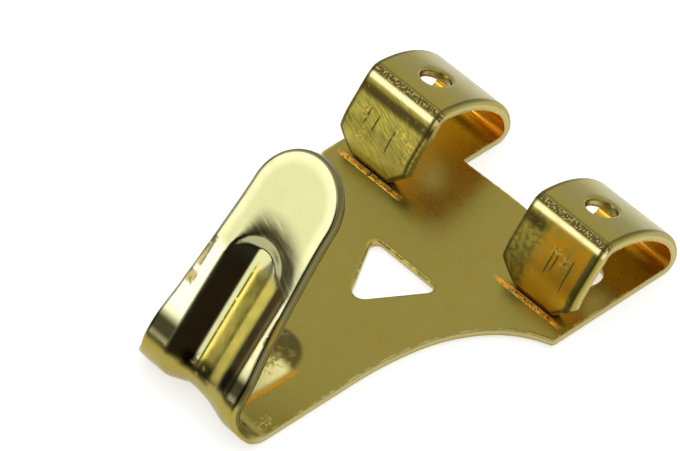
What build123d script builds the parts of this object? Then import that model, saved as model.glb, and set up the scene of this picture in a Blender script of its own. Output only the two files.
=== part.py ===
from build123d import *
from math import cos, radians, sin, tan
import os

# Picture hook pressed from one piece of sheet: back plate, two nail guides, ribbed hook.
# Millimetres, +Z up.  The hook lies on its back: Z points out of the wall, Y up the wall,
# X across.  The origin is on the back, midway across and midway up.

# ---- sheet ---------------------------------------------------------------------------
THICKNESS = 0.8
ROLLOVER = 0.3             # rounding left by the punch round the back face

# ---- back plate ----------------------------------------------------------------------
NECK_HALF, NECK_Y = 6.32, -7.55        # parallel end beside the hook
SPREAD_HALF, SPREAD_Y = 6.92, -1.85    # slight spread, then the two arcs out to the arm
SWEEP_HALF, SWEEP_Y = 8.95, 2.75
ARM_HALF, ARM_Y = 13.0, 5.7            # lower corner of each arm
ARM_CORNER_R = 0.45
TOP_Y, TOP_RISE = 13.32, 0.15           # top edge between the guides, higher mid-way

# ---- triangular opening --------------------------------------------------------------
TRI_HALF, TRI_BASE_Y, TRI_APEX_Y = 3.9, 2.95, -2.85
TRI_BASE_R, TRI_APEX_R = 0.55, 0.9
TRI_LEAD = 0.25                        # bevel where the punch went in at the front

# ---- nail guides: each curls over and comes back down to the plate --------------------
GUIDE_INNER = 5.32                     # inner edge of the strip
GUIDE_START_Y = 16.95                  # the strip is flat up to here
FAR_R, FAR_TURN = 1.4, 91.0            # outer radius and turn of each part of the curl
BACK_R, BACK_TURN = 4.0, 38.6
CROWN_R, CROWN_TURN = 8.4, 42.5
CROWN_RUN = 0.35                       # straight run before the nose
NOSE_R, NOSE_TURN = 1.65, 57.0
TUCK_R = 4.9                           # the end turns until it stands square to the plate
TUCK_TURN = 270.0 - FAR_TURN - BACK_TURN - CROWN_TURN - NOSE_TURN
GUIDE_GAP = 0.15                       # left between the strip's end and the plate
GUIDE_END = THICKNESS + GUIDE_GAP
GUIDE_CORNER = 1.7

# ---- nail holes: the nail leans back a little, down through the crown and the plate -----
ENTRY_R, ENTRY_SHARE = 1.25, 0.69      # in the crown, placed by a share of its arc
EXIT_R, EXIT_X, EXIT_Y = 1.25, 9.6, 12.2    # in the plate underneath, a little further out
HOLE_LEAD = 0.25                       # bevel round the top of the entry hole

# ---- hook ----------------------------------------------------------------------------
BEND_Y = -15.95                        # the plate ends and the bend begins
BEND_R, BEND_TURN = 2.4, 131.7
ROOT_HALF = 5.13                       # half width where the bend runs into the tongue
BEND_HALF, BEND_Z = 5.45, 1.95         # half width and height part way round the bend
TONGUE_LENGTH = 18.06                  # from the bend to the tip, along the outside
TONGUE_R, TONGUE_TURN = 300.0, 3.45    # the tongue is almost straight
TONGUE_SIDE = [(4.34, 8.74), (4.77, 13.97)]    # half width against distance from the tip
TONGUE_TAPER = 17.4                    # the taper starts this far from the tip
TIP_R = 4.12

# ---- stiffening rib, pressed in from the back ----------------------------------------
RIB_HALF, RIB_SLOPE = 2.6, 20.0        # a shallow V with flat walls
RIB_FLOOR_R = 1.2                      # and a rounded floor
RIB_PLATE_Y = -10.95                   # middle of the round end on the plate
RIB_TONGUE = 8.25                      # middle of the other end, along the tongue
RIB_OVERRUN = 0.35                     # how far its shape runs on through the sheet's face
RIB_SHOULDER = 0.4                     # soft edge where the sheet is drawn into the groove

ON_LINE = 0.001                        # closer than this counts as touching


def bend_arc(inset, mode=Mode.ADD):
    """The bend from the side, at one depth in the sheet."""
    return JernArc((BEND_Y, inset), (-1, 0), BEND_R - inset, -BEND_TURN, mode=mode)


def tongue_arc(inset, share=1.0):
    """The tongue from the side, from the bend to a share of its length."""
    bend = bend_arc(inset, Mode.PRIVATE)
    return JernArc(bend @ 1, bend % 1, TONGUE_R - inset, -TONGUE_TURN * share)


def guide_curl(inset):
    """The guide from the side, at one depth in the sheet, down to its free end."""
    far = JernArc((GUIDE_START_Y, inset), (1, 0), FAR_R - inset, FAR_TURN)
    back = JernArc(far @ 1, far % 1, BACK_R - inset, BACK_TURN)
    crown = JernArc(back @ 1, back % 1, CROWN_R - inset, CROWN_TURN)
    flat = PolarLine(crown @ 1, CROWN_RUN, direction=crown % 1)
    nose = JernArc(flat @ 1, flat % 1, NOSE_R - inset, NOSE_TURN)
    tuck_drop = (TUCK_R - inset) * sin(radians(TUCK_TURN))
    front_length = ((nose @ 1).Y - tuck_drop - GUIDE_END) / cos(radians(TUCK_TURN))
    front = PolarLine(nose @ 1, front_length, direction=nose % 1)
    tuck = JernArc(front @ 1, front % 1, TUCK_R - inset, TUCK_TURN)
    return [far, back, crown, flat, nose, front, tuck]


def rib_half():
    """Half of the rib's cross-section: depth along Y, widening past the sheet's face."""
    slope = radians(RIB_SLOPE)
    depth = RIB_HALF * tan(slope) - RIB_FLOOR_R * (1 / cos(slope) - 1)
    floor = JernArc((0, depth), (1, 0), RIB_FLOOR_R, -RIB_SLOPE)
    wall = Line(floor @ 1, (RIB_HALF + RIB_OVERRUN / tan(slope), -RIB_OVERRUN))
    base = Line(wall @ 1, (0, -RIB_OVERRUN))
    Line(base @ 1, floor @ 0)


def rib_solid(inset):
    """The rib as a solid with round ends, pressed in from one depth in the sheet."""
    with BuildPart() as rib:
        with BuildLine(Plane.YZ) as rib_path:
            Line((RIB_PLATE_Y, inset), (BEND_Y, inset))
            bend_arc(inset)
            tongue_arc(inset, RIB_TONGUE / TONGUE_LENGTH)
        path = rib_path.wire()
        for share in (0, 1):
            end_plane = Plane(origin=path @ share, x_dir=(1, 0, 0), z_dir=path % share)
            with BuildSketch(end_plane):
                with BuildLine():
                    rib_half()
                make_face()
            revolve(axis=Axis(path @ share, end_plane.y_dir))
        with BuildSketch(end_plane):
            with BuildLine():
                rib_half()
            make_face()
            mirror(about=Plane.YZ)
        sweep(path=path)
    return rib.part


def on_back(point):
    """Whether a point lies on the sheet's back, the side that meets the wall."""
    seen = Vertex(point.Y, point.Z, 0)
    return any(line.distance_to(seen) < ON_LINE for line in back_lines)


def on_guide_end(point):
    """Whether a point lies on a guide's free end or on the corners taken off it."""
    return point.Y > 0 and GUIDE_END - ON_LINE < point.Z < GUIDE_END + GUIDE_CORNER


REACH = BEND_R + TONGUE_LENGTH         # further than the hook goes in any direction

# bend: bent strip seen from the side, then narrowed as seen from the front
with BuildPart() as bend:
    with BuildSketch(Plane.YZ):
        with BuildLine():
            bend_back = outer = bend_arc(0)
            inner = bend_arc(THICKNESS)
            Line(outer @ 0, inner @ 0)
            Line(outer @ 1, inner @ 1)
        make_face()
    extrude(amount=NECK_HALF, both=True)
    root = inner @ 1
    with BuildSketch(Plane.XZ.offset(REACH)):
        with BuildLine():
            foot = Polyline((0, REACH), (0, 0), (NECK_HALF, 0), (NECK_HALF, THICKNESS))
            side = Spline(foot @ 1, (BEND_HALF, BEND_Z), (ROOT_HALF, root.Y),
                          tangents=((0, 1), (0, 1)))
            Polyline(side @ 1, (ROOT_HALF, REACH), (0, REACH))
        make_face()
        mirror(about=Plane.YZ)
    extrude(amount=-2 * REACH, mode=Mode.INTERSECT)

# tongue: the same strip running on, trimmed square to the sheet to its round tip
with BuildPart() as tongue:
    with BuildSketch(Plane.YZ) as tongue_side:
        with BuildLine():
            tongue_back = outer = tongue_arc(0)
            inner = tongue_arc(THICKNESS)
            Line(outer @ 0, inner @ 0)
            Line(outer @ 1, inner @ 1)
        make_face()
    extrude(amount=NECK_HALF, both=True)
    tip, heading = outer @ 1, outer % 1
    tip_face = Plane(origin=(0, tip.X, tip.Y), x_dir=(1, 0, 0),
                     z_dir=(0, -heading.Y, heading.X))
    with BuildSketch(tip_face.offset(REACH)):
        with BuildLine():
            point = CenterArc((0, -TIP_R), TIP_R, 0, 90)
            side = Spline(point @ 0, *[(half, -back) for half, back in TONGUE_SIDE],
                          (ROOT_HALF, -TONGUE_TAPER), tangents=((0, -1), (0, -1)))
            Polyline(side @ 1, (ROOT_HALF, -REACH), (0, -REACH), (0, 0))
        make_face()
        mirror(about=Plane.YZ)
    extrude(amount=-2 * REACH, mode=Mode.INTERSECT)

rib_ridge = rib_solid(THICKNESS)
rib_groove = rib_solid(0)

with BuildPart() as picture_hook:
    add(bend.part)
    add(tongue.part)

    # back plate with both arms
    with BuildSketch() as plate_outline:
        with BuildLine():
            start = Line((0, BEND_Y), (NECK_HALF, BEND_Y))
            neck = Line(start @ 1, (NECK_HALF, NECK_Y))
            spread = TangentArc(neck @ 1, (SPREAD_HALF, SPREAD_Y), tangent=(0, 1))
            sweep_out = TangentArc(spread @ 1, (SWEEP_HALF, SWEEP_Y), tangent=spread % 1)
            shoulder = TangentArc(sweep_out @ 1, (ARM_HALF, ARM_Y), tangent=sweep_out % 1)
            arm = Line(shoulder @ 1, (ARM_HALF, GUIDE_START_Y))
            end = Line(arm @ 1, (GUIDE_INNER, GUIDE_START_Y))
            inner_side = Line(end @ 1, (GUIDE_INNER, TOP_Y))
            top = Line(inner_side @ 1, (0, TOP_Y + TOP_RISE))
            Line(top @ 1, (0, BEND_Y))
        make_face()
        mirror(about=Plane.YZ)
        arm_corners = plate_outline.vertices().filter_by(
            lambda v: abs(v.Y - ARM_Y) < ARM_CORNER_R)
        fillet(arm_corners, radius=ARM_CORNER_R)
    extrude(amount=THICKNESS)

    # nail guides
    with BuildSketch(Plane.YZ.offset(GUIDE_INNER)) as guide_side:
        with BuildLine():
            outer_curl = guide_curl(0)
            inner_curl = guide_curl(THICKNESS)
            Line(outer_curl[0] @ 0, inner_curl[0] @ 0)
            Line(outer_curl[-1] @ 1, inner_curl[-1] @ 1)
        make_face()
    guides = extrude(amount=ARM_HALF - GUIDE_INNER)
    mirror(about=Plane.YZ)

    # nail holes: square through the crown, then through the plate where the nail arrives
    _, _, crown, *_ = outer_curl
    entry, along = crown @ ENTRY_SHARE, crown % ENTRY_SHARE
    entry_x = (GUIDE_INNER + ARM_HALF) / 2
    for hand in (-1, 1):
        crown_face = Plane(origin=(hand * entry_x, entry.X, entry.Y), x_dir=(1, 0, 0),
                           z_dir=(0, along.Y, -along.X))
        with BuildSketch(crown_face):
            Circle(ENTRY_R)
        extrude(amount=THICKNESS, both=True, mode=Mode.SUBTRACT)
        with BuildSketch():
            with Locations((hand * EXIT_X, EXIT_Y)):
                Circle(EXIT_R)
        extrude(amount=THICKNESS, mode=Mode.SUBTRACT)

    # corners taken off the free end of each guide
    ends = picture_hook.edges().filter_by(Axis.Y).filter_by(
        lambda e: abs((e @ 0.5).Z - GUIDE_END) < GUIDE_GAP)
    chamfer(ends, length=GUIDE_CORNER)

    # rounding left by the punch round the back of the blank; each guide's end is cut sharp
    back_lines = [bend_back, tongue_back, *outer_curl]
    back_lines.append(Line((BEND_Y, 0), (GUIDE_START_Y, 0)))
    back_faces = picture_hook.faces().filter_by(lambda f: on_back(f.position_at(0.5, 0.5)))
    back_edges = [e for f in back_faces for e in f.edges()]
    rim = [e for e in back_edges if sum(e.is_same(other) for other in back_edges) == 1]
    rim = [e for e in rim if not on_guide_end(e @ 0.5)]
    entries = [e for e in rim if e.is_closed and (e @ 0).Z > THICKNESS]
    chamfer(entries, length=HOLE_LEAD)
    fillet([e for e in rim if not e.is_closed], radius=ROLLOVER)

    # triangular opening, pierced from the front and bevelled there
    with BuildSketch(Plane.XY.offset(THICKNESS)) as triangle:
        with BuildLine():
            Polyline((-TRI_HALF, TRI_BASE_Y), (TRI_HALF, TRI_BASE_Y), (0, TRI_APEX_Y),
                     close=True)
        make_face()
        fillet(triangle.vertices().group_by(Axis.Y)[-1], radius=TRI_BASE_R)
        fillet(triangle.vertices().group_by(Axis.Y)[0], radius=TRI_APEX_R)
    extrude(amount=-THICKNESS, mode=Mode.SUBTRACT)
    front_face = picture_hook.faces().filter_by(Axis.Z).sort_by(SortBy.AREA)[-1]
    triangle_rim = front_face.inner_wires().filter_by(lambda w: abs(w.center().X) < TRI_HALF)
    chamfer(triangle_rim.edges(), length=TRI_LEAD)

    # stiffening rib: the ridge standing up inside, then the groove in the back
    add(rib_ridge)
    add(rib_groove, mode=Mode.SUBTRACT)
    shoulder = picture_hook.edges(Select.LAST).filter_by(lambda e: on_back(e @ 0.5))
    fillet(shoulder, radius=RIB_SHOULDER)

picture_hook.part.label = "picture_hook"

os.makedirs("parts", exist_ok=True)
export_step(picture_hook.part, "parts/picture_hook.step")
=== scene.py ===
from math import cos, hypot, pi, radians, sin

import bpy
import numpy as np
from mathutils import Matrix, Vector
from mathutils.geometry import delaunay_2d_cdt


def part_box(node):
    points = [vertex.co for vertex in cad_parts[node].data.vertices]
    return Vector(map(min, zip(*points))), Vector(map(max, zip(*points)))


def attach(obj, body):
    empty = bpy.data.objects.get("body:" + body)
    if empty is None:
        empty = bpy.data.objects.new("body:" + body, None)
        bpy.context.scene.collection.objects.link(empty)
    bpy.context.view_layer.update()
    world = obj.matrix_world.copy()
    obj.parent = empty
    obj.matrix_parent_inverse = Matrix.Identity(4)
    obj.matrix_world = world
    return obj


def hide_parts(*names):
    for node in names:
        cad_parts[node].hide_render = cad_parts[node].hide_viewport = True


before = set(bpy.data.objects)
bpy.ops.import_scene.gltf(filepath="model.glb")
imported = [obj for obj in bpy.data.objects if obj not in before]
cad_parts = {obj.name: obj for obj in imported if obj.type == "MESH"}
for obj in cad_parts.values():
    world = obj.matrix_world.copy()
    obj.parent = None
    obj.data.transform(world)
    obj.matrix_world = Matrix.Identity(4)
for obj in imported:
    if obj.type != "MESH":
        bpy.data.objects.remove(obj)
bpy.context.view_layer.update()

# ---- Picture hook ----------------------------------------------------------------------
# One piece of brass-plated steel sheet, curled at the top into two nail guides and bent up
# at the bottom into a ribbed tongue. It is drawn as the flat blank, in millimetres across
# (x) and along the outside of the sheet (s), and then bent.
MM = 0.001
TINY = 1e-6
THICKNESS = 0.8
ROLLOVER = 0.3           # rounding left by the blanking punch round the back
TRIANGLE_ROLL = 0.3      # the same round the front of the triangle, pierced the other way

low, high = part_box("picture_hook")
ARM_HALF = high.x / MM
GUIDE_INNER = 5.32
BEND_Y, GUIDE_START = -15.95, 16.95
TONGUE_LENGTH = 18.06
GUIDE_GAP = 0.15

# radius and turn in degrees of each stretch above the plate, and of the hook below it
FAR, BACK, CROWN = (1.4, 91.0), (4.0, 38.6), (8.4, 42.5)
NOSE, TUCK = (1.65, 57.0), (4.9, 40.9)
CROWN_FLAT = 0.35
BEND = (2.4, 131.7)
TONGUE_R = 300.0


class Stretch:
    """One stretch of the strip seen from the side: it bends towards the front at one rate."""

    def __init__(self, start, point, heading, length, radius=None):
        self.start, self.end = sorted((start, start + length))
        self.anchor, self.point, self.heading = start, point, heading
        self.curve = 1 / radius if radius else 0.0
        self.far_s = start + length

    def at(self, s):
        """Place (y, z) on the back and the direction to the front, at distances s."""
        run = s - self.anchor
        angle = self.heading + self.curve * run
        if self.curve:
            y = self.point[0] + (np.sin(angle) - sin(self.heading)) / self.curve
            z = self.point[1] - (np.cos(angle) - cos(self.heading)) / self.curve
        else:
            y = self.point[0] + run * cos(self.heading)
            z = self.point[1] + run * sin(self.heading)
        return y, z, -np.sin(angle), np.cos(angle)

    def onward(self, length, radius=None):
        """The next stretch, running on smoothly from the far end of this one."""
        y, z, _, _ = self.at(np.float64(self.far_s))
        heading = self.heading + self.curve * (self.far_s - self.anchor)
        return Stretch(self.far_s, (float(y), float(z)), heading, length, radius)


def arc(size):
    """Length and radius of a bent stretch, from its radius and turn."""
    radius, turn = size
    return radius * radians(turn), radius


plate = Stretch(BEND_Y, (BEND_Y, 0.0), 0.0, GUIDE_START - BEND_Y)
far = plate.onward(*arc(FAR))
back = far.onward(*arc(BACK))
crown = back.onward(*arc(CROWN))
flat = crown.onward(CROWN_FLAT)
nose = flat.onward(*arc(NOSE))
nose_foot = nose.onward(0.0)
tuck_drop = TUCK[0] * sin(radians(TUCK[1]))
front_length = (nose_foot.point[1] - tuck_drop - THICKNESS - GUIDE_GAP) / cos(radians(TUCK[1]))
front = nose.onward(front_length)
tuck = front.onward(*arc(TUCK))
bend = Stretch(BEND_Y, (BEND_Y, 0.0), 0.0, -arc(BEND)[0], BEND[0])
tongue = bend.onward(-TONGUE_LENGTH, TONGUE_R)
STRIP = [tongue, bend, plate, far, back, crown, flat, nose, front, tuck]
TIP, ROOT, GUIDE_END = tongue.start, bend.start, tuck.end


def side_view(s):
    """Place on the back and direction to the front, for many distances along the strip."""
    s = np.clip(s, TIP, GUIDE_END)
    found = np.zeros((4, len(s)))
    for stretch in STRIP:
        inside = (s >= stretch.start) & (s <= stretch.end)
        found[:, inside] = stretch.at(s[inside])
    return found


# outline of the blank, right half, from the middle of the top edge round to the tip
def smooth_through(knots, where):
    """Smooth curve through (place, value) knots, level at both ends."""
    places, values = np.array(knots, float).T
    slopes = np.gradient(values, places)
    slopes[0] = slopes[-1] = 0.0
    k = np.clip(np.searchsorted(places, where) - 1, 0, len(places) - 2)
    span = places[k + 1] - places[k]
    t = (where - places[k]) / span
    return ((1 + 2 * t) * (1 - t) ** 2 * values[k] + t * (1 - t) ** 2 * span * slopes[k]
            + t * t * (3 - 2 * t) * values[k + 1] + t * t * (t - 1) * span * slopes[k + 1])


def tangent_arc(start, heading, end, count):
    """Points of the arc that leaves start in a heading and reaches end, and its last heading."""
    chord = np.subtract(end, start)
    turn = 2 * (np.arctan2(chord[1], chord[0]) - heading)
    radius = hypot(*chord) / (2 * sin(turn / 2))
    angles = heading + turn * np.linspace(0, 1, count + 1)[1:]
    xs = start[0] + radius * (np.sin(angles) - sin(heading))
    ys = start[1] - radius * (np.cos(angles) - cos(heading))
    return list(zip(xs, ys)), heading + turn


def rounded(points, radii):
    """The closed outline with each corner rounded to its radius."""
    corner_points = 9
    result = []
    for k, corner in enumerate(points):
        here = np.array(corner, float)
        to_last = np.array(points[k - 1]) - here
        to_next = np.array(points[(k + 1) % len(points)]) - here
        to_last, to_next = to_last / hypot(*to_last), to_next / hypot(*to_next)
        if not radii[k]:
            result.append(tuple(here))
            continue
        half = np.arccos(np.clip(to_last @ to_next, -1, 1)) / 2
        centre = here + (to_last + to_next) / hypot(*(to_last + to_next)) * radii[k] / sin(half)
        first = here + to_last * radii[k] / np.tan(half) - centre
        sweep = (pi - 2 * half) * np.sign(-(to_last[0] * to_next[1] - to_last[1] * to_next[0]))
        for portion in np.linspace(0, 1, corner_points):
            a = sweep * portion
            result.append((centre[0] + first[0] * cos(a) - first[1] * sin(a),
                           centre[1] + first[0] * sin(a) + first[1] * cos(a)))
    return result


NECK_HALF, NECK_Y = 6.32, -7.55
ARM_Y = 5.7
TOP_Y, TOP_RISE = 13.32, 0.15
GUIDE_CORNER = 1.7
GAP_R, GUIDE_R, ARM_R = 0.2, 0.5, 0.45          # corners: between the guides, guide, arm
ARM_SIDE = [((6.92, -1.85), 12), ((8.95, 2.75), 16), ((ARM_HALF, ARM_Y), 20)]   # arcs' ends
HOOK_POINTS, TIP_POINTS, HOLE_POINTS = 150, 31, 48
TIP_R = 4.12
BEND_SIDE = [(0.8, NECK_HALF), (1.95, 5.45), (3.46, 5.13)]     # half width against height
TONGUE_SIDE = [(TIP_R, TIP_R), (8.74, 4.34), (13.97, 4.77), (17.4, 5.13)]

outer = [(0, TOP_Y + TOP_RISE), (GUIDE_INNER, TOP_Y), (GUIDE_INNER, GUIDE_END - GUIDE_CORNER),
         (GUIDE_INNER + GUIDE_CORNER, GUIDE_END), (ARM_HALF - GUIDE_CORNER, GUIDE_END),
         (ARM_HALF, GUIDE_END - GUIDE_CORNER), (ARM_HALF, ARM_Y)]
outer_radii = [0, GAP_R, GUIDE_R, GUIDE_R, GUIDE_R, GUIDE_R, ARM_R]
side, heading = [(NECK_HALF, NECK_Y)], pi / 2
for arc_end, arc_points in ARM_SIDE:
    more, heading = tangent_arc(side[-1], heading, arc_end, arc_points)
    side += more
hook_s = np.linspace(BEND_Y, TIP + TIP_R, HOOK_POINTS)
_, bend_z, _, bend_in = side_view(hook_s)
middle_z = np.clip(bend_z + bend_in * THICKNESS / 2, BEND_SIDE[0][0], BEND_SIDE[-1][0])
from_tip = np.clip(hook_s - TIP, TONGUE_SIDE[0][0], TONGUE_SIDE[-1][0])
hook_half = np.where(hook_s > ROOT, smooth_through(BEND_SIDE, middle_z),
                     smooth_through(TONGUE_SIDE, from_tip))
hook_side = list(zip(hook_half, hook_s))
tip_round = [(TIP_R * cos(a), TIP + TIP_R - TIP_R * sin(a))
             for a in np.linspace(0, pi / 2, TIP_POINTS)]
half_outline = outer + side[-2::-1] + hook_side + tip_round[1:]
half_radii = outer_radii + [0] * (len(half_outline) - len(outer))
mirrored = [(-x, s) for x, s in half_outline[1:-1]][::-1]
blank_edge = rounded(half_outline + mirrored, half_radii + half_radii[1:-1][::-1])

# openings: the triangle and the four nail holes
TRIANGLE = [(-3.78, 2.95), (3.78, 2.95), (0.0, -2.85)]
TRIANGLE_R = [0.55, 0.55, 0.9]
HOLE_R, ENTRY_SHARE, EXIT_X, EXIT_Y = 1.25, 0.69, 9.6, 12.2
entry_x = (GUIDE_INNER + ARM_HALF) / 2
entry_s = crown.start + ENTRY_SHARE * (crown.end - crown.start)
circle = [(HOLE_R * cos(a), HOLE_R * sin(a))
          for a in np.linspace(0, 2 * pi, HOLE_POINTS, endpoint=False)]
openings = [rounded(TRIANGLE, TRIANGLE_R)]
for hand in (-1, 1):
    openings.append([(hand * entry_x + x, entry_s + s) for x, s in circle])
    openings.append([(hand * EXIT_X + x, EXIT_Y + s) for x, s in circle])


def resampled(points, step):
    """The closed outline again, with no two points further apart than a step."""
    result = []
    for k, (x, s) in enumerate(points):
        x_next, s_next = points[(k + 1) % len(points)]
        length = hypot(x_next - x, s_next - s)
        if length < TINY:
            continue
        count = max(1, round(length / step))
        result += [(x + (x_next - x) * j / count, s + (s_next - s) * j / count)
                   for j in range(count)]
    return result


EDGE_STEP, GRID_STEP = 0.22, 0.2
outlines = [np.array(resampled(points, EDGE_STEP)) for points in [blank_edge, *openings]]


def signed_area(points):
    """Twice the area that an outline encloses, positive where it runs anticlockwise."""
    x, s = points.T
    return np.sum(x * np.roll(s, -1) - np.roll(x, -1) * s)


def to_outline(points, outline):
    """Distance from each point to the nearest stretch of an outline."""
    nearest = np.full(len(points), np.inf)
    following = np.roll(outline, -1, axis=0)
    for a, b in zip(outline, following):
        run = b - a
        t = np.clip(((points - a) @ run) / (run @ run), 0, 1)
        nearest = np.minimum(nearest, np.hypot(*(points - a - t[:, None] * run).T))
    return nearest


def inside(points, outline):
    """Whether each point lies inside a closed outline."""
    odd = np.zeros(len(points), bool)
    for a, b in zip(outline, np.roll(outline, -1, axis=0)):
        if a[1] == b[1]:
            continue
        level = (points[:, 1] > a[1]) != (points[:, 1] > b[1])
        crossing = a[0] + (points[:, 1] - a[1]) * (b[0] - a[0]) / (b[1] - a[1])
        odd ^= level & (points[:, 0] < crossing)
    return odd


def on_metal(points):
    """Whether each point lies inside the blank and outside its openings."""
    metal = inside(points, outlines[0])
    for opening in outlines[1:]:
        metal &= ~inside(points, opening)
    return metal


# points of the blank: its edges, rings just inside them, and a square grid between
RINGS = (0.04, 0.11, 0.2, 0.3, 0.45)
RING_KEPT = 0.97         # a ring's point nearer an edge than this share of its depth is dropped
GRID_CLEAR = 0.1
rings = []
for outline, solid_side in zip(outlines, [1] + [-1] * len(openings)):
    way = np.sign(signed_area(outline)) * solid_side
    edge_run = np.roll(outline, -1, axis=0) - np.roll(outline, 1, axis=0)
    inward = way * np.stack([-edge_run[:, 1], edge_run[:, 0]], 1)
    inward /= np.hypot(*edge_run.T)[:, None]
    for depth in RINGS:
        ring = outline + inward * depth
        rings.append(ring[to_outline(ring, outline) > RING_KEPT * depth])
grid_x = np.arange(0, ARM_HALF, GRID_STEP)
grid_x = np.concatenate([-grid_x[:0:-1], grid_x])
grid_s = np.arange(TIP, GUIDE_END, GRID_STEP)
grid = np.stack(np.meshgrid(grid_x, grid_s), -1).reshape(-1, 2)
grid = grid[on_metal(grid)]
from_edge = np.min([to_outline(grid, outline) for outline in outlines], axis=0)
grid = grid[from_edge > RINGS[-1] + GRID_CLEAR]
edge_points = np.concatenate(outlines)
loops, first = [], 0
for outline in outlines:
    loops.append([(first + k, first + (k + 1) % len(outline)) for k in range(len(outline))])
    first += len(outline)
points = np.concatenate([edge_points, *rings, grid])
points, _, faces, _, _, _ = delaunay_2d_cdt([Vector(p) for p in points], sum(loops, []), [],
                                            0, TINY)
points, faces = np.array([tuple(p) for p in points]), np.array(faces)
faces = faces[on_metal(points[faces].mean(axis=1))]

# the rib, pressed in from the back: a V with round ends; low and high are their middles
RIB_HALF = 2.6
RIB_LOW, RIB_HIGH = ROOT - 8.25, -10.95
RIDGE_SLOPE, RIDGE_WIDER, RIDGE_ROUND, RIDGE_SOFT = 20.0, 0.2, 0.4, 0.08

# slope in degrees across the groove: an even left wall, a right wall that steepens twice
SLOPE_AT = [(-9, 0), (-2.95, 0), (-2.45, 20), (-0.86, 20), (-0.72, 2), (-0.15, -1), (-0.05, 8),
            (0.05, -4), (0.3, -6), (1.3, -7), (1.5, -11), (2.2, -12.5), (2.6, -15.5),
            (3.4, -15.5), (3.75, -10), (4.15, -1.5), (4.4, 0), (9, 0)]
GROOVE_REACH, GROOVE_STEPS = 4.5, 901

# the groove's ends: steep, in a shallow dish that fades out on the left
END_SLOPE, DISH_SLOPE, DISH = 31.0, 16.0, 1.7
DISH_FADE_X, DISH_FADE = -2.6, 2.0
END_TURN = 75            # degrees round the end in which the right wall turns into it


def groove_depth(x):
    """Depth of the groove across it, by adding up its slopes."""
    table = np.linspace(-GROOVE_REACH, GROOVE_REACH, GROOVE_STEPS)
    slopes = np.tan(np.radians(np.interp(table, *np.array(SLOPE_AT).T)))
    depths = np.concatenate([[0], np.cumsum((slopes[1:] + slopes[:-1]) / 2 * np.diff(table))])
    depths -= depths[-1] * (table - table[0]) / (table[-1] - table[0])
    return np.interp(x, table, depths)


def smooth(portion):
    """0 to 1 again, but level at both ends."""
    return portion * portion * (3 - 2 * portion)


def beyond_end(s):
    """How far each point lies past the middle of one of the rib's round ends."""
    return np.maximum(0, np.maximum(s - RIB_HIGH, RIB_LOW - s))


def rib_depth(x, s):
    """How far the sheet is pressed in at each point, with round ends in a shallow dish."""
    beyond = beyond_end(s)
    from_end = np.hypot(x, beyond)
    reach = RIB_HALF - from_end
    dish = np.clip(reach + DISH, 0, DISH) ** 2 / (2 * DISH) * np.tan(np.radians(DISH_SLOPE))
    dish *= np.clip((x - DISH_FADE_X) / DISH_FADE, 0, 1)
    end_wall = dish + np.maximum(reach, 0) * np.tan(np.radians(END_SLOPE))
    end_wall = np.minimum(end_wall, groove_depth(0.0))
    left_end = np.minimum(groove_depth(x), end_wall)
    turn = np.arctan2(beyond, np.maximum(x, TINY)) / radians(END_TURN)
    turn = smooth(np.clip(turn, 0, 1))
    right_end = groove_depth(from_end) * (1 - turn) + end_wall * turn
    return np.where(beyond > 0, np.where(x < 0, left_end, right_end), groove_depth(x))


def ridge_height(x, s):
    """How far the rib stands up inside: a plain V with a rounded top and round ends."""
    off_ridge = np.sqrt(x * x + beyond_end(s) ** 2 + RIDGE_ROUND ** 2)
    reach = RIB_HALF + RIDGE_WIDER - off_ridge
    foot = np.maximum(0, reach + RIDGE_SOFT) ** 2 / (4 * RIDGE_SOFT)
    return np.where(reach > RIDGE_SOFT, reach, foot) * np.tan(np.radians(RIDGE_SLOPE))


def roll_in(from_edge, radius):
    """How far a rounded edge falls away, at a distance in from the cut."""
    gone = np.clip(radius - from_edge, 0, radius)
    return radius - np.sqrt(radius * radius - gone * gone)


x, s = points.T
from_outer = to_outline(points, outlines[0])
from_triangle = to_outline(points, outlines[1])
from_holes = np.min([to_outline(points, outline) for outline in outlines[2:]], axis=0)
from_edge = np.min([from_outer, from_triangle, from_holes], axis=0)
y, z, front_y, front_z = side_view(s)
sides = []
for inset in (roll_in(from_edge, ROLLOVER) + rib_depth(x, s),
              THICKNESS - roll_in(from_triangle, TRIANGLE_ROLL) + ridge_height(x, s)):
    sides.append(np.stack([x, y + front_y * inset, z + front_z * inset], 1))

# faces of the back and the front, and the cut edge that joins them; the triangulation has
# kept the outlines' points first, so the loops still number them
SHARP_ANGLE = 50
count = len(points)
first_side = points[faces[:, 1]] - points[faces[:, 0]]
last_side = points[faces[:, 2]] - points[faces[:, 0]]
upward = first_side[:, 0] * last_side[:, 1] - first_side[:, 1] * last_side[:, 0] > 0
faces = np.where(upward[:, None], faces, faces[:, ::-1])
walls = []
for outline, loop, solid_side in zip(outlines, loops, [1] + [-1] * len(openings)):
    forward = signed_area(outline) * solid_side > 0
    for a, b in loop:
        a, b = (a, b) if forward else (b, a)
        walls.append((a, b, b + count, a + count))
mesh = bpy.data.meshes.new("hook_sheet")
mesh.from_pydata((np.concatenate(sides) * MM).tolist(), [],
                 faces[:, ::-1].tolist() + (faces + count).tolist() + walls)
mesh.validate()
mesh.shade_smooth()
mesh.set_sharp_from_angle(angle=radians(SHARP_ANGLE))

# where each point lies on the flat blank and how far it is from a cut, for the finish
blank_place = mesh.attributes.new("blank", "FLOAT_VECTOR", "POINT")
front_side = np.repeat([0.0, 1.0], count)
on_blank = np.stack([np.tile(x, 2), np.tile(s, 2), front_side], 1)
blank_place.data.foreach_set("vector", on_blank.ravel())
cut_distance = mesh.attributes.new("from_cut", "FLOAT", "POINT")
cut_distance.data.foreach_set("value", np.tile(from_edge, 2).astype(np.float32))


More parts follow.
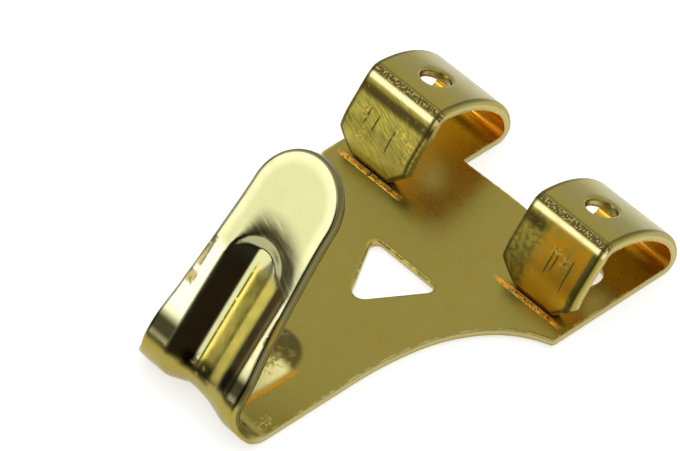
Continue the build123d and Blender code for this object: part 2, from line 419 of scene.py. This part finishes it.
def linear(code):
    """An sRGB hex colour as the linear RGBA that the shaders take."""
    parts = [int(code[k:k + 2], 16) / 255 for k in (1, 3, 5)]
    return [p / 12.92 if p < 0.04045 else ((p + 0.055) / 1.055) ** 2.4 for p in parts] + [1.0]


def add(tree, kind, inputs=None, **settings):
    """Adds a node with its settings; each input is a value or the socket to link from."""
    node = tree.nodes.new(kind)
    for name, value in settings.items():
        setattr(node, name, value)
    for name, value in (inputs or {}).items():
        socket = node.inputs[name]
        if isinstance(value, bpy.types.NodeSocket):
            tree.links.new(value, socket)
        else:
            socket.default_value = value
    return node


# the finish: bright brass plated over the steel, which gives its olive gold and soft shine;
# tools have left it paler, darker or duller in places, and some highlights, reflections and
# shade are painted into its colour
SIDES_APART = 37         # keeps the grain of the back from showing again on the front
brass = bpy.data.materials.new("bright brass plating on steel")
brass.use_nodes = True
tree = brass.node_tree
surface = tree.nodes["Principled BSDF"]
surface.inputs["Metallic"].default_value = 1.0
blank = add(tree, "ShaderNodeAttribute", attribute_name="blank").outputs["Vector"]
from_cut_mm = add(tree, "ShaderNodeAttribute", attribute_name="from_cut").outputs["Fac"]
parted = add(tree, "ShaderNodeSeparateXYZ", {0: blank})
across_mm, along_mm, side_of = (parted.outputs[name] for name in "XYZ")
reach_across = add(tree, "ShaderNodeMath", {0: across_mm}, operation="ABSOLUTE").outputs[0]
grain_place = add(tree, "ShaderNodeVectorMath", {0: blank, 1: (1, 1, SIDES_APART)},
                  operation="MULTIPLY").outputs["Vector"]


def between(value, low, high, soft):
    """Two conditions that hold from low to high, fading over a soft width to either side."""
    return (value, low - soft, low + soft), (value, high + soft, high - soft)


def across(low, high, soft):
    """A stripe along the blank, between two distances across it."""
    return between(across_mm, low, high, soft)


def along(low, high, soft):
    """A band across the blank, between two distances along it."""
    return between(along_mm, low, high, soft)


def every(*conditions):
    """Where all the conditions hold. Each is a mask, or a value and two limits between which
    it rises smoothly from 0 to 1, or falls where the second limit is the lower one."""
    masks = []
    for condition in conditions:
        if isinstance(condition, tuple):
            value, low, high = condition
            condition = add(tree, "ShaderNodeMapRange", {
                "Value": value, "From Min": min(low, high), "From Max": max(low, high),
                "To Min": float(high < low), "To Max": float(high > low)},
                interpolation_type="SMOOTHSTEP").outputs["Result"]
        masks.append(condition)
    result = masks[0]
    for mask in masks[1:]:
        result = add(tree, "ShaderNodeMath", {0: result, 1: mask},
                     operation="MULTIPLY").outputs[0]
    return result


def either(*conditions):
    """Where at least one of the conditions holds."""
    result = every(conditions[0])
    for condition in conditions[1:]:
        result = add(tree, "ShaderNodeMath", {0: result, 1: every(condition)},
                     operation="MAXIMUM").outputs[0]
    return result


def total(start, parts):
    """A start value with a part of the strength of each group of masks added to it."""
    for part, *masks in parts:
        start = add(tree, "ShaderNodeMath", {0: every(*masks), 1: part, 2: start},
                    operation="MULTIPLY_ADD").outputs[0]
    return start


def coat(colour, code, part, *conditions):
    """The colour with a part of another laid over it, where all the conditions hold."""
    return add(tree, "ShaderNodeMixRGB", {"Fac": every(*conditions, part), "Color1": colour,
                                          "Color2": linear(code)}).outputs["Color"]


def spot(x, s, wide, tall, soft):
    """An oblong spot on the blank, given by its middle and half sizes."""
    return every(*across(x - wide, x + wide, soft), *along(s - tall, s + tall, soft))


def from_place(x, s):
    """Distance over the blank from a place on its right half or from the same on the left."""
    place = add(tree, "ShaderNodeCombineXYZ", {0: reach_across, 1: along_mm}).outputs[0]
    return add(tree, "ShaderNodeVectorMath", {0: place, 1: (x, s, 0)},
               operation="DISTANCE").outputs["Value"]


def clouds(scale, detail=2.0, shift=0.0):
    """Cloudy noise about 0.5, with features of 1/scale mm; another shift, other clouds."""
    where = add(tree, "ShaderNodeMapping", {
        "Vector": grain_place, "Location": (shift, shift, 0)}).outputs["Vector"]
    return add(tree, "ShaderNodeTexNoise", {"Vector": where, "Scale": scale,
                                            "Detail": detail}).outputs["Fac"]


def hatched(scale, angle):
    """Noise drawn out into fine lines at an angle in degrees to the blank's width."""
    thinness = 0.1
    turned = add(tree, "ShaderNodeMapping", {
        "Vector": grain_place, "Rotation": (0, 0, -radians(angle))}).outputs["Vector"]
    drawn = add(tree, "ShaderNodeVectorMath", {0: turned, 1: (thinness, 1, 1)},
                operation="MULTIPLY").outputs["Vector"]
    return add(tree, "ShaderNodeTexNoise", {"Vector": drawn, "Scale": scale,
                                            "Detail": 2.0}).outputs["Fac"]


# the parts of the sheet; outside is the back of the plate, the fronts of guides and tongue
outside = every((side_of, 0.5, 0.02))
inside_face = every((side_of, 0.5, 0.98))
wall = every((side_of, 0.02, 0.12), (side_of, 0.98, 0.88))
on_tongue = every(outside, (along_mm, ROOT + 0.6, ROOT - 0.4))
on_guide = every((along_mm, GUIDE_START, GUIDE_START + 0.6))
in_loop = every(inside_face, on_guide)
on_crown = every(outside, *along(crown.start, crown.end, 0.3))
on_front = every(outside, (along_mm, nose.end - 0.1, nose.end + 0.3))
on_right = every((across_mm, -1.0, 1.0))
on_left = every((across_mm, 1.0, -1.0))

# olive gold, with faint orange clouds and small dark specks; each coat of colour has the
# part of it that shows, and then where
colour = add(tree, "ShaderNodeRGB").outputs[0]
colour.default_value = linear("#A09347")
colour = coat(colour, "#A98A32", 0.5, (clouds(0.8, 3.0), 0.5, 0.75))
colour = coat(colour, "#8A7432", 0.4, (clouds(2.6, 2.0, shift=7.0), 0.66, 0.78))

# the tongue, painted paler so that the card it mirrors shows as a cream highlight, most of all
# along its edges and on its left side
edge_highlight_tint = every(on_tongue, (from_cut_mm, 1.4, 0.6), (along_mm, ROOT - 1.6, ROOT - 2.6))
left_highlight_tint = every(on_tongue, (across_mm, -2.7, -3.0), *along(RIB_LOW - 0.2, ROOT - 2.2, 0.7))
colour = coat(colour, "#A5A376", 1.0, on_tongue)
colour = coat(colour, "#BDBB90", 0.7, edge_highlight_tint)
colour = coat(colour, "#C8C7AA", 1.0, left_highlight_tint)

# painted shade: dark hatching in the dish under the rib's low end
from_rib_end = from_place(0.0, RIB_LOW)
dish_shade = every(outside, (along_mm, RIB_LOW + 0.6, RIB_LOW - 0.2),
             (across_mm, DISH_FADE_X, DISH_FADE_X + 1.2),
             (from_rib_end, RIB_HALF + 2.5, RIB_HALF + 0.3), (from_rib_end, 2.5, 2.6))
colour = coat(colour, "#4C4426", 0.95, dish_shade, (hatched(4.0, 20.0), 0.1, 0.55))

# the groove, its light and shade painted in bands: a brown left wall, a ragged line of painted
# shade along the crease down the middle, a painted highlight on the gold right wall, and painted
# shade on the dark far edge
groove_walls = every(on_tongue, *across(-2.5, 3.9, 0.1),
                     (along_mm, RIB_LOW - 1.0, RIB_LOW + 0.3))
crease_shade_line = every(groove_walls, *across(-0.27, -0.08, 0.05), (clouds(2.5, 3.0), 0.3, 0.46))
gold_wall_highlight = every(groove_walls, (across_mm, -0.3, -0.2), (across_mm, 2.9, 2.4))
colour = coat(colour, "#9C7A48", 0.8, groove_walls, (across_mm, -0.7, -0.9))
colour = coat(colour, "#BDAD4B", 0.9, gold_wall_highlight)
colour = coat(colour, "#33280F", 0.85, crease_shade_line)
colour = coat(colour, "#54401C", 0.9, groove_walls, (across_mm, 2.5, 2.8))

# smoke-dark mottled patches on the flanks of the bend and at the foot of the groove
smoke = clouds(1.8, 4.0, shift=5.0)
mottled = every((smoke, 0.12, 0.44))
flank = every(outside, *along(ROOT - 1.75, ROOT - 0.1, 0.45), (reach_across, 2.4, 3.0))
groove_foot = every(outside, *along(ROOT - 0.8, ROOT + 0.9, 0.4), (reach_across, 2.0, 1.1))
colour = coat(colour, "#2C2815", 0.98, flank, (smoke, 0.05, 0.35))
colour = coat(colour, "#2E2612", 0.9, groove_foot, (clouds(1.5, 4.0), 0.3, 0.5))

# the guide's bend: a tool line, a crinkled band with glints painted on its crinkles, and a pale
# band across it that paints the cream of the nose highlight
tool_line = every(outside, *along(nose.start + 0.4, nose.start + 0.46, 0.04))
crinkled = every(outside, *along(nose.start + 0.55, nose.start + 1.15, 0.1))
crinkles = clouds(5.0, 4.0, shift=11.0)
nose_highlight_band = every(outside, *along(nose.start + 1.2, nose.end + 0.12, 0.1))
colour = coat(colour, "#98925E", 1.0, on_crown, (clouds(0.3), 0.3, 0.8))
colour = coat(colour, "#40351A", 0.8, tool_line)
colour = coat(colour, "#6A5E2C", 1.0, crinkled)
colour = coat(colour, "#DCCB80", 0.9, crinkled, (crinkles, 0.5, 0.62))
colour = coat(colour, "#E4DA9C", 1.0, nose_highlight_band)

# the fronts of the guides: scraped olive on the left, orange gold low on the right that
# paints the tongue's reflection, a smoke-dark band of painted shade under the bend, and a dull
# side
fine_lines = hatched(9.0, 23.0)
tongue_reflection_orange = every(on_front, (across_mm, 7.0, 8.6), (across_mm, 12.5, 12.0),
               (clouds(0.5, 3.0, shift=2.0), 0.25, 0.5))
olive_side = every(on_front, on_right, (across_mm, 8.6, 7.2), (clouds(2.2, 4.0), 0.4, 0.62))
under_bend_shade = every(outside, *along(nose.end + 0.38, nose.end + 1.25, 0.26),
              either(on_left, (across_mm, 8.4, 7.0)))
dull_side = every(on_front, *across(ARM_HALF - 0.75, ARM_HALF - 0.25, 0.15))
colour = coat(colour, "#ACA046", 1.0, on_front, on_left)
colour = coat(colour, "#A89A44", 1.0, on_front, on_right)
colour = coat(colour, "#CDBE55", 0.6, on_front, on_left, (fine_lines, 0.5, 0.62))
colour = coat(colour, "#857A34", 0.6, on_front, on_left, (fine_lines, 0.5, 0.38))
colour = coat(colour, "#D69F26", 0.95, tongue_reflection_orange)
colour = coat(colour, "#F8C034", 0.9, tongue_reflection_orange, (along_mm, 33.3, 34.6))
colour = coat(colour, "#6A5C2C", 0.7, olive_side)
colour = coat(colour, "#4E4120", 0.95, under_bend_shade, mottled)
colour = coat(colour, "#4C452A", 0.75, dull_side, mottled)

# dark strokes down the fronts: distance across, then where each starts and ends
STROKES = [(-10.9, 32.0, 33.3), (-9.9, 32.15, 33.5), (-8.0, 32.3, 34.2), (9.35, 31.6, 33.7),
           (9.8, 32.0, 33.2), (10.6, 31.7, 32.6), (11.25, 31.7, 34.3)]
STROKE_HALF = 0.05
strokes = either(*(every(*across(x - STROKE_HALF, x + STROKE_HALF, 0.06), *along(s0, s1, 0.3))
                   for x, s0, s1 in STROKES))
strokes = every(outside, strokes, (clouds(2.0, 2.0, shift=9.0), 0.2, 0.4))
colour = coat(colour, "#33290F", 0.9, strokes)

# bright scrawls, each within an oblong: middle and half sizes
SCRAWLS = [(-10.7, 34.2, 0.35, 0.55), (-7.3, 32.4, 0.9, 0.5), (-11.2, 32.6, 0.4, 0.45),
           (-6.1, 33.2, 0.35, 0.9), (9.6, 31.9, 0.5, 0.3), (10.6, 32.2, 0.4, 0.4)]
scrawls = either(*(spot(*mark, 0.25) for mark in SCRAWLS))
scrawls = every(outside, scrawls, (clouds(3.0, 3.0, shift=6.0), 0.49, 0.56))
colour = coat(colour, "#DCC65C", 0.9, scrawls)

# a darker line of painted shade along the rolled edges of the guides, but none round the nail
# holes
rolled_edge_shade = every(outside, on_guide, *between(from_cut_mm, 0.16, 0.42, 0.1),
                    (from_place(entry_x, entry_s), HOLE_R + 0.7, HOLE_R + 1.0))
colour = coat(colour, "#544A22", 0.8, rolled_edge_shade)

# orange where little light gets in: a painted reflection of the warm light that bounces between
# the brass faces inside the loops
colour = coat(colour, "#F2BC3E", 1.0, in_loop)

# the rib's ridge on the plate: painted shade on its end, where it mirrors the dark front of the
# left guide, a pale painted highlight on its flank, and a painted warm reflection along its
# orange foot
ridge_end_shade = every(inside_face, (from_place(0.0, RIB_HIGH), RIB_HALF + 0.45, RIB_HALF - 0.05),
                  (along_mm, RIB_HIGH - 0.9, RIB_HIGH + 0.6))
ridge_flank_highlight = every(inside_face, *across(1.15, 2.8, 0.35),
                    *along(BEND_Y - 0.2, RIB_HIGH + 0.2, 0.5))
grainy = (total(clouds(3.0, 4.0, shift=8.0), [(0.25, across_mm)]), 0.72, 1.0)
ridge_foot_reflection = every(inside_face, *across(2.86, 3.26, 0.08),
                   *along(BEND_Y + 0.3, RIB_HIGH + 0.5, 0.3))
foot_grain = clouds(3.0, 4.0, shift=1.0)
colour = coat(colour, "#4A3F1C", 0.85, ridge_end_shade, (clouds(1.6, 4.0, shift=8.0), 0.15, 0.5))
colour = coat(colour, "#EADF98", 1.0, ridge_flank_highlight, grainy)
colour = coat(colour, "#D89A1A", 0.95, ridge_foot_reflection, (foot_grain, 0.3, 0.5))

# a dark mottled patch and bright flecks beside the ridge, where the sheet starts to bend
bend_dark_patch = every(inside_face, spot(4.4, BEND_Y - 1.6, 0.6, 0.5, 0.3), mottled)
bend_flecks = every(inside_face, spot(5.4, BEND_Y + 0.4, 0.5, 0.7, 0.2),
                    (clouds(3.6, 3.0), 0.5, 0.58))
colour = coat(colour, "#40381E", 0.9, bend_dark_patch)
colour = coat(colour, "#D8C878", 1.0, bend_flecks)

# cut edges: a bright burr on the front, whose glints are painted into its colour, and dull cut
# metal, duller round the tongue
burr_and_glints = every(inside_face, (from_cut_mm, 0.2, 0.06), (clouds(1.2, 5.0), 0.44, 0.6))
tongue_wall = every(wall, (along_mm, BEND_Y - 1.0, BEND_Y - 3.0))
colour = coat(colour, "#D8C470", 0.8, burr_and_glints)
colour = coat(colour, "#BDB377", 0.7, wall)
colour = coat(colour, "#6E6330", 1.0, tongue_wall)
# painted shade along the tongue's rolled rim
colour = coat(colour, "#5C5228", 0.8, on_tongue, (from_cut_mm, 0.24, 0.12))

# scuffs along the tongue, each within an oblong: middle and half sizes
SCUFFS = [(-4.1, -26.6, 0.4, 0.5), (-4.1, -28.9, 0.22, 1.3), (4.6, -27.2, 0.3, 1.1)]
scuffs = either(*(spot(*mark, 0.2) for mark in SCUFFS))
scuffs = every(outside, scuffs, (clouds(2.2, 4.0, shift=3.0), 0.3, 0.46))
colour = coat(colour, "#8A7830", 0.85, scuffs)

# where the end of each guide meets the plate: a bumped bead painted bright orange, a painted
# reflection of the guide's warm end
foot_y = tuck.at(tuck.end)[0]
guide_end_reflection = every(inside_face, *along(foot_y - 0.42, foot_y - 0.02, 0.07),
               *between(reach_across, GUIDE_INNER + 0.2, ARM_HALF - 0.9, 0.5),
               (clouds(2.4, 3.0, shift=4.0), 0.3, 0.46))
colour = coat(colour, "#FFB93C", 1.0, guide_end_reflection)

# roughness: satin, brighter polish on the tongue, duller where the tool has rubbed
rough = total(0.2, [(0.16, clouds(0.9, 4.0, shift=3.0)), (-0.12, on_tongue),
                    (0.14, on_front), (0.14, dish_shade)])

# relief in millimetres
relief = total(0.0, [(0.004, clouds(1.6, 3.0)), (0.012, on_front, fine_lines),
                     (0.1, crinkled, crinkles), (0.03, burr_and_glints), (-0.03, strokes),
                     (0.03, scrawls), (-0.02, scuffs), (0.02, ridge_foot_reflection, foot_grain),
                     (0.2, guide_end_reflection, clouds(3.0))])
normal = add(tree, "ShaderNodeBump", {"Height": relief, "Distance": MM}).outputs["Normal"]
tree.links.new(colour, surface.inputs["Base Color"])
tree.links.new(rough, surface.inputs["Roughness"])
tree.links.new(normal, surface.inputs["Normal"])
mesh.materials.append(brass)

hook = bpy.data.objects.new("picture_hook_sheet", mesh)
bpy.context.scene.collection.objects.link(hook)
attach(hook, "root")
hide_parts("picture_hook")

# ---- Studio: pale table, tent of soft light, camera ------------------------------------
# The table lies a hair under the hook's back. It glows a little to the eye, so that it is
# white behind the hook and in its metal, and adds no light to it from below.
TABLE_REACH, TABLE_DROP = 3.0, 0.00002
TABLE_GLOW, TABLE_MIRRORED = 0.6, 0.65          # as the camera and as the metal see it
WHITE = (1, 1, 1, 1)
floor_mesh = bpy.data.meshes.new("table")
floor_mesh.from_pydata([(TABLE_REACH * i, TABLE_REACH * j, -TABLE_DROP)
                        for i, j in ((-1, -1), (1, -1), (1, 1), (-1, 1))], [], [(0, 1, 2, 3)])
table = bpy.data.objects.new("table", floor_mesh)
bpy.context.scene.collection.objects.link(table)
paper = bpy.data.materials.new("white paper")
paper.use_nodes = True
tree = paper.node_tree
tree.nodes.clear()
output = add(tree, "ShaderNodeOutputMaterial")
rays = add(tree, "ShaderNodeLightPath")
matte = add(tree, "ShaderNodeBsdfDiffuse", {"Color": linear("#E8E8E8")})
seen = add(tree, "ShaderNodeEmission", {"Strength": 0.0})
for ray, strength in (("Is Camera Ray", TABLE_GLOW), ("Is Glossy Ray", TABLE_MIRRORED)):
    glow = add(tree, "ShaderNodeEmission", {"Color": WHITE, "Strength": strength})
    seen = add(tree, "ShaderNodeMixShader", {0: rays.outputs[ray], 1: seen.outputs[0],
                                             2: glow.outputs[0]})
both = add(tree, "ShaderNodeAddShader", {0: matte.outputs[0], 1: seen.outputs[0]})
tree.links.new(both.outputs[0], output.inputs["Surface"])
floor_mesh.materials.append(paper)

# a small bright card close by, which the face of the tongue mirrors
CARD_AWAY, CARD_WIDE, CARD_TALL, CARD_GLOW = 0.08, 0.0115, 0.018, 2.3
tongue_middle = Vector((0, -12.4, 10.4)) * MM
towards_card = Vector((-0.53, -0.74, 0.42)).normalized()
card_side = towards_card.cross(Vector((0, 0, 1))).normalized()
card_up = card_side.cross(towards_card)
card_middle = tongue_middle + towards_card * CARD_AWAY
card_mesh = bpy.data.meshes.new("card")
card_mesh.from_pydata([card_middle + card_side * CARD_WIDE * i + card_up * CARD_TALL * j
                       for i, j in ((-1, -1), (1, -1), (1, 1), (-1, 1))], [], [(0, 1, 2, 3)])
card = bpy.data.objects.new("card", card_mesh)
bpy.context.scene.collection.objects.link(card)
card.visible_camera = False
card.visible_diffuse = False
glowing = bpy.data.materials.new("lit card")
glowing.use_nodes = True
tree = glowing.node_tree
tree.nodes.clear()
output = add(tree, "ShaderNodeOutputMaterial")
glow = add(tree, "ShaderNodeEmission", {"Color": WHITE, "Strength": CARD_GLOW})
tree.links.new(glow.outputs[0], output.inputs["Surface"])
card_mesh.materials.append(glowing)

# the tent: white cloth with a dark gap, shade low on the left and brighter patches of
# cloth; each patch has a direction, a half width and a softness in degrees, and a level
TENT_LEVEL = 0.72
SHADE, GAP, GAP_LEVEL = ((-0.55, -0.83, 0.0), 50, 12), ((0.12, -0.85, 0.52), 23, 3), 0.05
SHADE_LOW, SHADE_HIGH, SHADE_DEPTH = 0.32, 0.42, 0.9
LIT_CLOTH = [((-0.53, -0.65, 0.54), 8, 3, 2.2), ((-0.82, -0.53, 0.22), 5, 2, 1.4),
             ((0.05, 0.46, 0.88), 14, 8, 0.5), ((-0.45, 0.85, 0.25), 35, 25, 0.12)]
world = bpy.data.worlds.new("light tent")
bpy.context.scene.world = world
world.use_nodes = True
tree = world.node_tree
tree.nodes.clear()
output = add(tree, "ShaderNodeOutputWorld")
direction = add(tree, "ShaderNodeTexCoord").outputs["Generated"]


def patch(towards, wide, soft, inner, outer=0.0):
    """A patch of the tent: inner level round one direction, fading to outer."""
    towards = Vector(towards).normalized()
    facing = add(tree, "ShaderNodeVectorMath", {0: direction, 1: towards},
                 operation="DOT_PRODUCT").outputs["Value"]
    return add(tree, "ShaderNodeMapRange", {
        "Value": facing, "From Min": cos(radians(wide + soft)),
        "From Max": cos(radians(wide - soft)), "To Min": outer, "To Max": inner},
        interpolation_type="SMOOTHSTEP").outputs["Result"]


height = add(tree, "ShaderNodeSeparateXYZ", {0: direction}).outputs["Z"]
near_table = add(tree, "ShaderNodeMapRange", {
    "Value": height, "From Min": SHADE_LOW, "From Max": SHADE_HIGH,
    "To Min": SHADE_DEPTH, "To Max": 0.0}).outputs["Result"]
unshaded = total(1.0, [(-1.0, patch(*SHADE, 1.0), near_table)])
level = every(unshaded, patch(*GAP, GAP_LEVEL, outer=1.0), TENT_LEVEL)
level = total(level, [(1.0, patch(*lit)) for lit in LIT_CLOTH])
tent = add(tree, "ShaderNodeBackground", {"Color": WHITE, "Strength": level})
clear = add(tree, "ShaderNodeBackground", {"Color": WHITE, "Strength": 1.0})
rays = add(tree, "ShaderNodeLightPath")
mixed = add(tree, "ShaderNodeMixShader", {0: rays.outputs["Is Camera Ray"],
                                          1: tent.outputs[0], 2: clear.outputs[0]})
tree.links.new(mixed.outputs[0], output.inputs["Surface"])

# the camera, aimed a little to the left of the hook's middle and below it
AZIMUTH, ELEVATION, DISTANCE = radians(49.08), radians(45.26), 0.3628
SENSOR_WIDTH, LENS, CLIP_START = 36.0, 264.7, 0.01
AIM_SHIFT = Vector((-0.39, -3.27, 0.0)) * MM
camera_data = bpy.data.cameras.new("camera")
camera_data.sensor_width, camera_data.lens = SENSOR_WIDTH, LENS
camera_data.clip_start = CLIP_START
camera = bpy.data.objects.new("camera", camera_data)
bpy.context.scene.collection.objects.link(camera)
bpy.context.scene.camera = camera
aim = (low + high) / 2 + AIM_SHIFT
away = Vector((sin(AZIMUTH) * cos(ELEVATION), -cos(AZIMUTH) * cos(ELEVATION), sin(ELEVATION)))
camera.location = aim + away * DISTANCE
camera.rotation_euler = (-away).to_track_quat("-Z", "Y").to_euler()
bpy.context.scene.view_settings.view_transform = "Standard"
